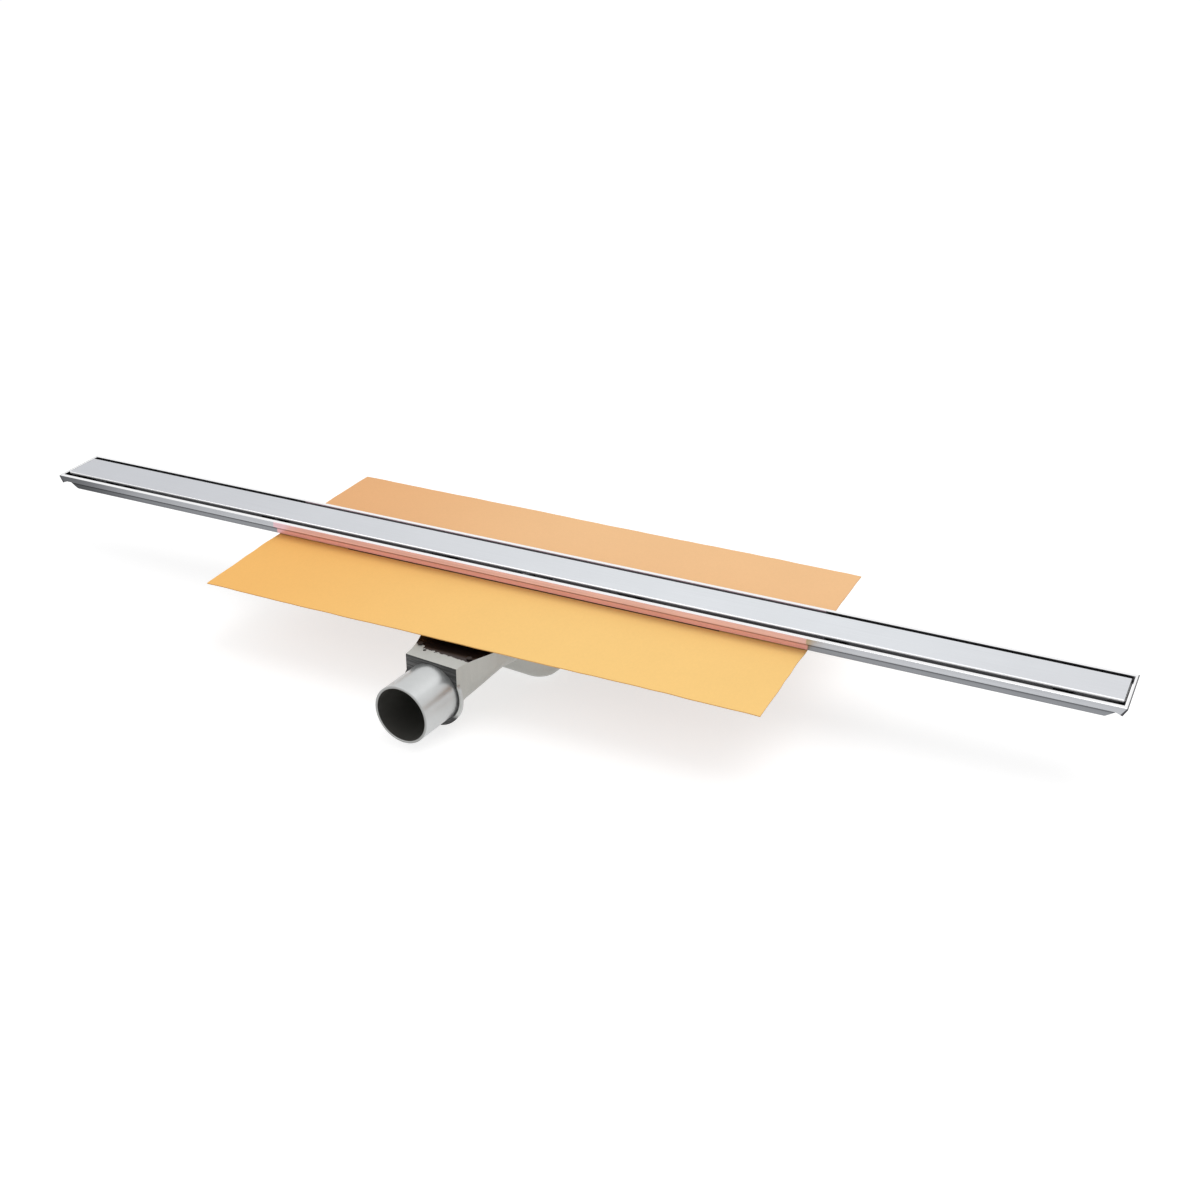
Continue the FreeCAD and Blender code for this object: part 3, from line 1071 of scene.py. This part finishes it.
@dataclass
class Membrane(Assembly):
    """Sealing sheet, bonding tape and the clamp plate with its fasteners."""

    step: float = 0.004
    sag: float = 0.0016
    # Half widths of the strip that stays level and of the square hole for the spout.
    flat_half: float = 0.024
    hole_half: float = 0.0205
    ripple: float = 0.0007
    # Waves per metre of the ripple along and across, and where its noise is cut.
    ripple_waves: Tuple[float, float] = (7.0, 9.0)
    ripple_cut: float = 1.7
    edge_wander: float = 0.0006
    # Waves per metre of the cut edges, and where the noise of ends and sides is cut.
    edge_waves: float = 60.0
    end_cut: Tuple[float, float] = (3.1, 0.5)
    side_cut: Tuple[float, float] = (8.7, 0.5)
    sheet_smooth: float = 60.0
    chamfer: float = 0.0005
    nut_play: float = 0.00005
    nut_steps: int = 36
    nut_smooth: float = 30.0
    thread_depth: float = 0.00035
    thread_pitch: float = 0.0007
    # Height of the thread's first crest over the stud's end, in turns.
    first_crest: float = 0.7
    # How much thinner the stud's end is, in radius.
    point_depth: float = 0.0007
    stud_steps: int = 24
    stud_smooth: float = 20.0

    def build(self) -> None:
        """Make the sheet and the fasteners, and dress the rest."""
        self.dress("bonding_tape", FINISHES.tape)
        self.dress("clamp_plate", FINISHES.fastener)
        self.dress("clamp_washers", FINISHES.fastener)
        self.sheet()
        self.piece("hexagon_nuts", mesh_of("hexagon_nuts", self.fill_nuts), FINISHES.fastener,
                   "fastener_steel", self.nut_smooth, ["clamp_nuts"])
        self.piece("threaded_studs", mesh_of("threaded_studs", self.fill_studs),
                   FINISHES.fastener, "fastener_steel", self.stud_smooth, ["clamp_studs"])

    def sheet(self) -> None:
        """Make the sheet."""
        item = self.piece("sealing_sheet", mesh_of("sealing_sheet", self.fill_sheet),
                          FINISHES.sheet, "membrane", self.sheet_smooth, ["sealing_membrane"])

    def height(self, x: float, y: float, half_width: float) -> float:
        """How far the free part of the sheet leaves its plane.

        Args:
            x: Place along the channel.
            y: Place across it.
            half_width: Half of the sheet's width.

        Returns:
            The offset, zero under the channel.
        """
        free = max(0.0, (abs(y) - self.flat_half) / (half_width - self.flat_half))
        along, across = self.ripple_waves
        wave = noise.noise(Vector((x * along, y * across, self.ripple_cut)))
        return -self.sag * free * free + self.ripple * wave * free

    def wander(self, place: float, cut: Tuple[float, float]) -> float:
        """How far a cut edge leaves its straight line at a place along it."""
        return noise.noise(Vector((place * self.edge_waves, *cut))) * self.edge_wander

    def face_grid(self, work: bmesh.types.BMesh, grid: Grid,
                  level: float) -> Dict[Tuple[int, int], bmesh.types.BMVert]:
        """Add the points of one face of the sheet.

        Args:
            work: Mesh under construction.
            grid: The sheet's grid.
            level: Height of the face where the sheet is level.

        Returns:
            The points by column and row.
        """
        points = {}
        for i in range(grid.columns + 1):
            for j in range(grid.rows + 1):
                x, y = grid.point(i, j)
                edge_x = self.wander(y, self.end_cut) if i in (0, grid.columns) else 0.0
                edge_y = self.wander(x, self.side_cut) if j in (0, grid.rows) else 0.0
                lift = self.height(x, y, (grid.high.y - grid.low.y) / 2)
                points[i, j] = work.verts.new((x + edge_x, y + edge_y, level + lift))
        return points

    def fill_sheet(self, work: bmesh.types.BMesh) -> None:
        """Add the sheet, a fine grid with uneven cut edges and a hole for the spout.

        Args:
            work: Mesh under construction.
        """
        low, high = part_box("sealing_membrane")
        grid = Grid(low, high, round((high.x - low.x) / self.step),
                    round((high.y - low.y) / self.step))
        faces = [self.face_grid(work, grid, level) for level in (high.z, low.z)]
        kept = {(i, j) for i in range(grid.columns) for j in range(grid.rows)
                if max(abs(place) for place in grid.point(i + 0.5, j + 0.5)) > self.hole_half}
        around = ((0, 0), (1, 0), (1, 1), (0, 1))
        beside = ((0, -1), (1, 0), (0, 1), (-1, 0))
        for i, j in kept:
            for face, order in zip(faces, (1, -1)):
                work.faces.new([face[i + a, j + b] for a, b in around[::order]])
            for side, (a, b) in enumerate(beside):
                if (i + a, j + b) in kept:
                    continue
                first, second = around[side], around[(side + 1) % len(around)]
                one = (i + first[0], j + first[1])
                two = (i + second[0], j + second[1])
                work.faces.new([faces[0][two], faces[0][one], faces[1][one], faces[1][two]])
        loose = [vert for vert in work.verts if not vert.link_faces]
        bmesh.ops.delete(work, geom=loose, context="VERTS")

    def fill_nuts(self, work: bmesh.types.BMesh) -> None:
        """Add the hexagon nuts, with a bore that clears the studs.

        Args:
            work: Mesh under construction.
        """
        stud_low, stud_high = island_boxes("clamp_studs")[0]
        hole = (stud_high.x - stud_low.x) / 2 + self.nut_play
        for low, high in island_boxes("clamp_nuts"):
            self.fill_nut(work, low, high, hole)

    def fill_nut(self, work: bmesh.types.BMesh, low: Vector, high: Vector, hole: float) -> None:
        """Add one nut with chamfered corners, two of which point along X.

        Args:
            work: Mesh under construction.
            low: Lowest corner of its box.
            high: Highest corner of its box.
            hole: Radius of its bore.
        """
        flat = (high.x - low.x) / 2 * math.cos(math.pi / 6)
        turn = 2.0 * math.pi / self.nut_steps
        full = [hexagon_radius(turn * index, flat) for index in range(self.nut_steps)]
        trimmed, bore = [flat] * self.nut_steps, [hole] * self.nut_steps
        levels = ((low.z, trimmed), (low.z + self.chamfer, full), (high.z - self.chamfer, full),
                  (high.z, trimmed), (high.z, bore), (low.z, bore))
        middle = (low + high) / 2
        join_loops(work, [level_loop(work, middle, level, radii) for level, radii in levels])

    def fill_studs(self, work: bmesh.types.BMesh) -> None:
        """Add the studs, threaded all the way up.

        Args:
            work: Mesh under construction.
        """
        for low, high in island_boxes("clamp_studs"):
            radius = (high.x - low.x) / 2
            centre = Vector(((low.x + high.x) / 2, (low.y + high.y) / 2, 0.0))
            outline = [(0.0, low.z), (radius - self.point_depth, low.z)]
            for index in range(int((high.z - low.z) / self.thread_pitch) - 1):
                level = low.z + self.thread_pitch * (index + self.first_crest)
                outline.append((radius, level))
                outline.append((radius - self.thread_depth, level + self.thread_pitch / 2))
            outline += [(radius, high.z), (0.0, high.z)]
            lathe(work, outline, centre, self.stud_steps)


@dataclass
class Insert(Assembly):
    """Odour insert, its ring, the hair strainer and its bow."""

    def build(self) -> None:
        """Dress what hangs in the spout."""
        self.dress("odour_insert", FINISHES.plastic)
        self.dress("insert_ring", FINISHES.rubber)
        self.dress("hair_strainer", FINISHES.strainer)
        self.dress("strainer_bow", FINISHES.strainer)


@dataclass
class Trap(Assembly):
    """Trap body, lid, seal, spigot and collar."""

    def build(self) -> None:
        """Dress the trap piece by piece."""
        self.dress("trap_body", FINISHES.trap)
        self.dress("trap_lid", FINISHES.lid)
        self.dress("lid_screws", FINISHES.screw)
        self.dress("outlet_spigot", FINISHES.pipe)
        self.dress("spigot_collar", FINISHES.pipe)
        self.dress("lip_seal", FINISHES.rubber)


@dataclass(frozen=True)
class Lamp:
    """A soft square lamp: its place, the length of its side and its power in watts."""

    name: str
    place: Vector
    side: float
    power: float

    def hang(self) -> None:
        """Add the lamp to the scene, turned towards the object."""
        data = bpy.data.lights.new(self.name, "AREA")
        data.shape = "SQUARE"
        data.size = self.side
        data.energy = self.power
        item = bpy.data.objects.new(self.name, data)
        item.location = self.place
        item.rotation_euler = (-self.place).to_track_quat("-Z", "Y").to_euler()
        bpy.context.scene.collection.objects.link(item)


@dataclass
class Studio:
    """Camera, lamps, floor and surroundings."""

    photo_width: float = 1200.0
    focal_pixels: float = 1623.0
    sensor: float = 36.0
    near: float = 0.01
    place: Vector = Vector((0.57607, -1.11242, 0.61806))
    forward: Vector = Vector((-0.3725, 0.8040, -0.4634))
    roll: float = math.radians(0.323)
    ambient: float = 0.72
    # Light that the floor gives off where it is seen.
    lift: float = 0.66
    floor_white: float = 0.50
    floor_reach: float = 30.0
    floor_sides: int = 64
    lamps: Tuple[Lamp, ...] = (Lamp("key", Vector((0.7, 0.25, 2.4)), 2.0, 20.0),
                               Lamp("front", Vector((-1.2, -2.2, 1.5)), 1.6, 9.0))

    def build(self) -> None:
        """Set the camera first, then the light and the floor."""
        self.camera()
        self.world()
        self.floor()
        for lamp in self.lamps:
            lamp.hang()
        bpy.context.scene.view_settings.view_transform = "Standard"

    def camera(self) -> None:
        """Camera at the photograph's place."""
        ahead = self.forward.normalized()
        right = ahead.cross(Vector((0.0, 0.0, 1.0))).normalized()
        over = right.cross(ahead)
        turned_right = right * math.cos(self.roll) + over * math.sin(self.roll)
        turned_up = over * math.cos(self.roll) - right * math.sin(self.roll)
        matrix = Matrix((turned_right, turned_up, -ahead)).transposed().to_4x4()
        matrix.translation = self.place
        data = bpy.data.cameras.new("camera")
        data.sensor_width = self.sensor
        data.lens = self.focal_pixels / self.photo_width * self.sensor
        data.clip_start = self.near
        item = bpy.data.objects.new("camera", data)
        item.matrix_world = matrix
        bpy.context.scene.collection.objects.link(item)
        bpy.context.scene.camera = item

    @staticmethod
    def seen(board: Board) -> Signal:
        """Tell the rays that an eye follows from those that light surfaces.

        Args:
            board: The tree.

        Returns:
            One for camera, glossy and transmission rays, and zero for the rest.
        """
        paths = [board.add("ShaderNodeLightPath", output=name)
                 for name in ("Is Camera Ray", "Is Glossy Ray", "Is Transmission Ray")]
        return paths[0].at_least(paths[1]).at_least(paths[2])

    def world(self) -> None:
        """White surroundings for the eye, and an even light for surfaces."""
        world = bpy.data.worlds.new("surroundings")
        bpy.context.scene.world = world
        world.use_nodes = True
        board = Board(world.node_tree)
        strength = self.seen(board) * (1.0 - self.ambient) + self.ambient
        light = board.add("ShaderNodeBackground", inputs={"Color": (1.0, 1.0, 1.0, 1.0),
                                                          "Strength": strength})
        board.close(light, "ShaderNodeOutputWorld")

    def floor(self) -> None:
        """Pale floor that keeps the shadow."""
        level = min(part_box(node)[0].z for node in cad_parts)
        bpy.ops.mesh.primitive_circle_add(vertices=self.floor_sides, radius=self.floor_reach,
                                          fill_type="NGON", location=(0.0, 0.0, level))
        item = bpy.context.object
        item.name = "floor"
        material = bpy.data.materials.new("floor")
        material.use_nodes = True
        board = Board(material.node_tree)
        white = self.floor_white
        matt = board.add("ShaderNodeBsdfDiffuse", inputs={"Color": (white, white, white, 1.0)})
        glow = board.add("ShaderNodeEmission", inputs={"Strength": self.seen(board) * self.lift})
        board.close(board.add("ShaderNodeAddShader", inputs={0: matt, 1: glow}))
        item.data.materials.append(material)


def main() -> None:
    """Build the drain piece by piece."""
    logging.basicConfig(level=logging.INFO, format="%(name)s: %(message)s")
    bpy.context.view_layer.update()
    Studio().build()
    for assembly in (Cover(CHANNEL), Channel(CHANNEL), Membrane(CHANNEL), Insert(CHANNEL),
                     Trap(TRAP)):
        assembly.build()


if __name__ == "__main__":
    main()
